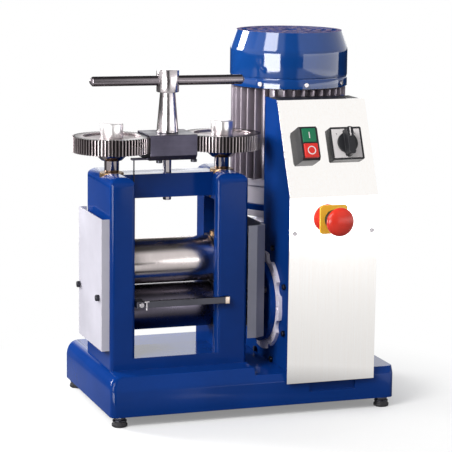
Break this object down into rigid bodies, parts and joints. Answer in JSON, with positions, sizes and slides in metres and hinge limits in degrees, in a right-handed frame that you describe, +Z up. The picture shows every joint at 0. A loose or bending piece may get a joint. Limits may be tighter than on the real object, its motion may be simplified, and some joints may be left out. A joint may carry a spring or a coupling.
{
  "type": "motor driven bench rolling mill",
  "caption": "Bench rolling mill for sheet and wire: motor driven rolls in a cast stand, geared hand screwdown, worm reducer, upright finned motor and a steel control cabinet.",
  "frame": {"origin": "on the bench plane, under the middle of the whole machine's outer box", "axes": "+X along the rolls towards the motor, +Y to the back, +Z up"},
  "size_m": [0.449, 0.3108, 0.5335],
  "materials": {
    "deep_blue_enamel": "glossy enamel over a casting",
    "polished_stainless": "polished stainless sheet",
    "white_painted_sheet": "light grey paint on folded sheet",
    "grey_painted_sheet": "grey paint on folded sheet",
    "black_sheet": "black paint",
    "hardened_roll_steel": "ground and polished",
    "gear_steel": "cut teeth, machined faces",
    "turned_steel": "turned and polished",
    "ground_steel_block": "ground faces, oiled",
    "bronze": "machined bronze",
    "dark_fasteners": "blackened steel",
    "zinc_fasteners": "zinc plated steel",
    "cast_aluminium": "cast and machined",
    "black_plastic": "moulded, fine grain",
    "green_plastic": "moulded",
    "red_plastic": "moulded",
    "yellow_plastic": "moulded",
    "black_rubber": "moulded"
  },
  "bodies": {
    "machine_frame": {"base_casting": "deep_blue_enamel", "rubber_feet": "black_rubber", "foot_studs": "zinc_fasteners", "roller_stand": "deep_blue_enamel", "stand_fasteners": "dark_fasteners", "screwdown_nuts": "bronze", "lower_chock_left": "ground_steel_block", "lower_chock_right": "ground_steel_block", "lower_bushes": "bronze", "feed_rest": "ground_steel_block", "left_gear_cover": "white_painted_sheet", "right_gear_cover": "grey_painted_sheet", "sheet_metal_screws": "dark_fasteners", "front_panel": "polished_stainless", "cabinet_left_side": "deep_blue_enamel", "cabinet_rear_shell": "deep_blue_enamel", "cabinet_top_plate": "black_sheet", "switch_housing": "black_plastic", "selector_plate": "black_plastic", "estop_plate": "yellow_plastic", "estop_collar": "black_plastic", "contact_blocks": "black_plastic", "gearbox_housing": "deep_blue_enamel", "gearbox_flange": "cast_aluminium", "output_hub": "deep_blue_enamel", "flange_bolts": "zinc_fasteners", "adapter_ring": "cast_aluminium", "motor_flange": "deep_blue_enamel", "drive_end_shield": "cast_aluminium", "motor_housing": "cast_aluminium", "fan_cowl": "deep_blue_enamel", "cowl_screws": "zinc_fasteners", "terminal_box": "black_plastic", "cable_gland": "black_plastic"},
    "lower_roll": {"lower_roll": "hardened_roll_steel", "lower_roll_gear": "gear_steel", "worm_wheel": "bronze"},
    "upper_chocks": {"upper_chock_left": "ground_steel_block", "upper_chock_right": "ground_steel_block", "upper_bronze_bearings": "bronze"},
    "upper_roll": {"upper_roll": "hardened_roll_steel", "upper_roll_gear": "gear_steel"},
    "gear_carriage": {"gear_carrier": "ground_steel_block", "carrier_screws": "dark_fasteners", "gap_pointer": "turned_steel"},
    "left_screw": {"left_screw": "turned_steel", "left_screw_gear": "gear_steel"},
    "right_screw": {"right_screw": "turned_steel", "right_screw_gear": "gear_steel"},
    "handle": {"handle_spindle": "turned_steel", "drive_pinion": "gear_steel", "handle_bar": "turned_steel"},
    "rotor": {"motor_rotor": "turned_steel", "cooling_fan": "black_plastic", "worm_shaft": "turned_steel"},
    "start_button": {"start_button": "green_plastic"},
    "stop_button": {"stop_button": "red_plastic"},
    "selector_knob": {"selector_knob": "black_plastic"},
    "estop_plunger": {"estop_stem": "black_plastic"},
    "estop_mushroom": {"estop_mushroom": "red_plastic"}
  },
  "joints": [
    {"name": "rotor_spin", "type": "hinge", "parent": "machine_frame", "child": "rotor", "pos_m": [0.12302, 0.06665, 0.1464], "axis": [0, 0, 1], "continuous": true},
    {"name": "lower_roll_spin", "type": "hinge", "parent": "machine_frame", "child": "lower_roll", "pos_m": [-0.08728, -0.00835, 0.1464], "axis": [1, 0, 0], "continuous": true},
    {"name": "upper_chock_slide", "type": "slide", "parent": "machine_frame", "child": "upper_chocks", "axis": [0, 0, 1], "range_m": [-0.00141, 0.00451]},
    {"name": "upper_roll_spin", "type": "hinge", "parent": "upper_chocks", "child": "upper_roll", "pos_m": [-0.08728, -0.00835, 0.2129], "axis": [1, 0, 0], "continuous": true},
    {"name": "carriage_slide", "type": "slide", "parent": "machine_frame", "child": "gear_carriage", "axis": [0, 0, 1], "range_m": [-0.00141, 0.00451]},
    {"name": "handle_turn", "type": "hinge", "parent": "gear_carriage", "child": "handle", "pos_m": [-0.08728, -0.00835, 0.4697], "axis": [0, 0, 1], "range_deg": [-490, 1575]},
    {"name": "left_screw_turn", "type": "hinge", "parent": "gear_carriage", "child": "left_screw", "pos_m": [-0.16903, -0.00835, 0.371], "axis": [0, 0, 1], "range_deg": [-810.4, 252.8]},
    {"name": "right_screw_turn", "type": "hinge", "parent": "gear_carriage", "child": "right_screw", "pos_m": [-0.00553, -0.00835, 0.371], "axis": [0, 0, 1], "range_deg": [-810.4, 252.8]},
    {"name": "start_press", "type": "slide", "parent": "machine_frame", "child": "start_button", "axis": [0, 0.915, -0.4035], "range_m": [0, 0.003], "stiffness_N_per_m": 300, "springref_m": -0.002},
    {"name": "stop_press", "type": "slide", "parent": "machine_frame", "child": "stop_button", "axis": [0, 0.915, -0.4035], "range_m": [0, 0.003], "stiffness_N_per_m": 300, "springref_m": -0.002},
    {"name": "selector_turn", "type": "hinge", "parent": "machine_frame", "child": "selector_knob", "pos_m": [0.14982, -0.09196, 0.38121], "axis": [0, -0.915, 0.4035], "range_deg": [-45, 45]},
    {"name": "estop_press", "type": "slide", "parent": "machine_frame", "child": "estop_plunger", "axis": [0, 1, 0], "range_m": [0, 0.005]},
    {"name": "estop_twist", "type": "hinge", "parent": "estop_plunger", "child": "estop_mushroom", "pos_m": [0.12272, -0.1419, 0.2805], "axis": [0, -1, 0], "range_deg": [0, 45], "stiffness_Nm_per_rad": 0.05, "springref_deg": -11.46}
  ],
  "couplings": [
    {"joint": "lower_roll_spin", "follows": "rotor_spin", "ratio": 0.016667},
    {"joint": "upper_roll_spin", "follows": "rotor_spin", "ratio": -0.016667},
    {"joint": "left_screw_turn", "follows": "handle_turn", "ratio": -0.51389},
    {"joint": "right_screw_turn", "follows": "handle_turn", "ratio": -0.51389},
    {"joint": "carriage_slide", "follows": "handle_turn", "m_per_rad": 0.00016358},
    {"joint": "upper_chock_slide", "follows": "handle_turn", "m_per_rad": 0.00016358}
  ]
}
